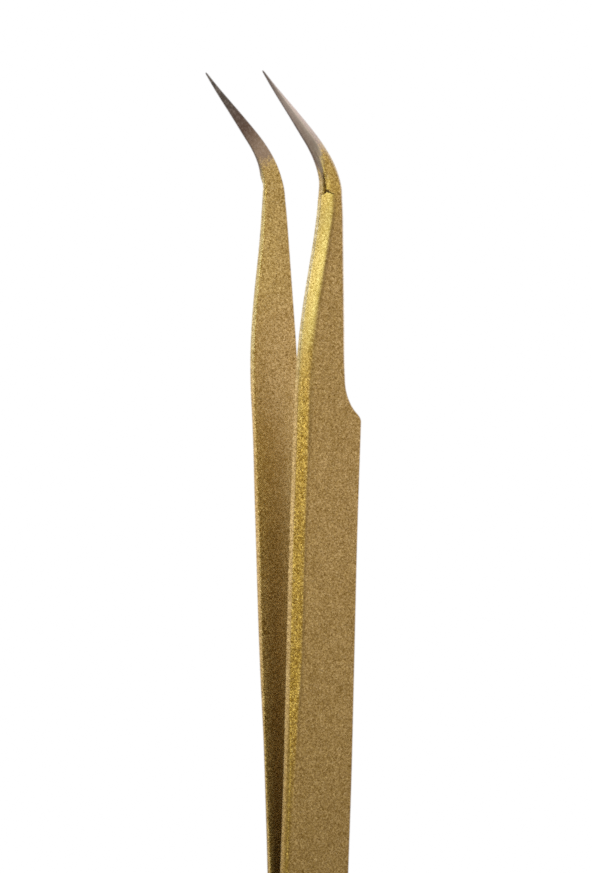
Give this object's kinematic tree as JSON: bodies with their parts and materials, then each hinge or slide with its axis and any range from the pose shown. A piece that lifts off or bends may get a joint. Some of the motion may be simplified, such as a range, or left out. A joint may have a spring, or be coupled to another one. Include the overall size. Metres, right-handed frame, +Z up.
{
  "type": "stamp tongs",
  "caption": "Fine-pointed spring tongs with upturned sharp points, sprung arms welded at the tail and a gold glitter coat that stops short of the bare steel points.",
  "frame": {"origin": "middle of the bounding box on the table: halfway along the length, on the middle plane between the arms, at the lower edges that the tongs rest on", "axes": "+X from the welded tail to the points, +Y to the left arm, +Z up, the way the points turn"},
  "size_m": [0.12, 0.0128, 0.0151],
  "materials": {
    "gold_coat": "fine gold glitter lacquer on steel, sparkling grain about 0.15 mm",
    "bare_steel": "ground bare steel with a faint purplish brown tint",
    "weld_steel": "fused steel nuggets, hidden between the arms"
  },
  "bodies": {
    "tail": {"tail_spot_welds": "weld_steel", "right_arm_tail": "gold_coat", "left_arm_tail": "gold_coat"},
    "right_arm": {"right_arm_blade": "gold_coat", "right_arm_tip": "bare_steel"},
    "left_arm": {"left_arm_blade": "gold_coat", "left_arm_tip": "bare_steel"}
  },
  "joints": [
    {"name": "right_arm_flex", "type": "hinge", "parent": "tail", "child": "right_arm", "pos_m": [-0.02703, -0.00184, 0.0047], "axis": [0, 0, 1], "range_deg": [0, 3.66], "stiffness_Nm_per_rad": 1.3},
    {"name": "left_arm_flex", "type": "hinge", "parent": "tail", "child": "left_arm", "pos_m": [-0.02703, 0.00184, 0.0047], "axis": [0, 0, -1], "range_deg": [0, 3.66], "stiffness_Nm_per_rad": 1.3}
  ],
  "couplings": [
    {"joint": "left_arm_flex", "follows": "right_arm_flex", "ratio": 1}
  ]
}
